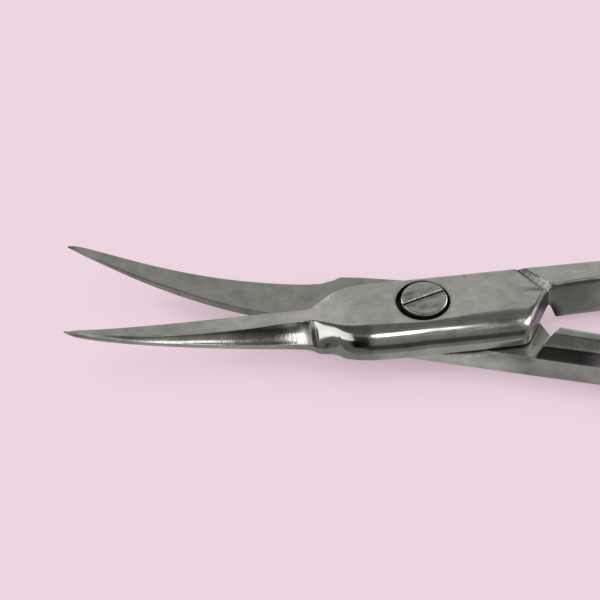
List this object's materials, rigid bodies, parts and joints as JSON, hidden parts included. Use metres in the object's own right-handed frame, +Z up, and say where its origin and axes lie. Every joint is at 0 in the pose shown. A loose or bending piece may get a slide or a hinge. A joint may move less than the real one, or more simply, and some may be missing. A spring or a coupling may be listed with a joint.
{
  "type": "nail scissors",
  "caption": "Steel nail scissors with short upward-curved pointed blades, a slotted pivot screw, slim shanks and two oval finger rings.",
  "frame": {"origin": "where the pivot axis meets the surface the scissors lie on, on the flush ground end of the pivot screw", "axes": "+X from the pivot towards the finger rings along the line that halves the opening angle, +Y towards the front half's ring, +Z up, along the pivot axis, from the back half to the front half; the blade tips curve towards +Z"},
  "size_m": [0.0963, 0.072, 0.0052],
  "materials": {
    "polished_steel": "forged stainless steel, ground flat faces and polished bevels, fine scratches",
    "screw_steel": "turned stainless steel with a worn slot"
  },
  "bodies": {
    "lower_half": {"back_half": "polished_steel", "pivot_screw": "screw_steel"},
    "upper_half": {"front_half": "polished_steel"}
  },
  "joints": [
    {"name": "blade_pivot", "type": "hinge", "parent": "lower_half", "child": "upper_half", "pos_m": [0, 0, 0.00225], "axis": [0, 0, 1], "range_deg": [-18.9, 40.8]}
  ]
}
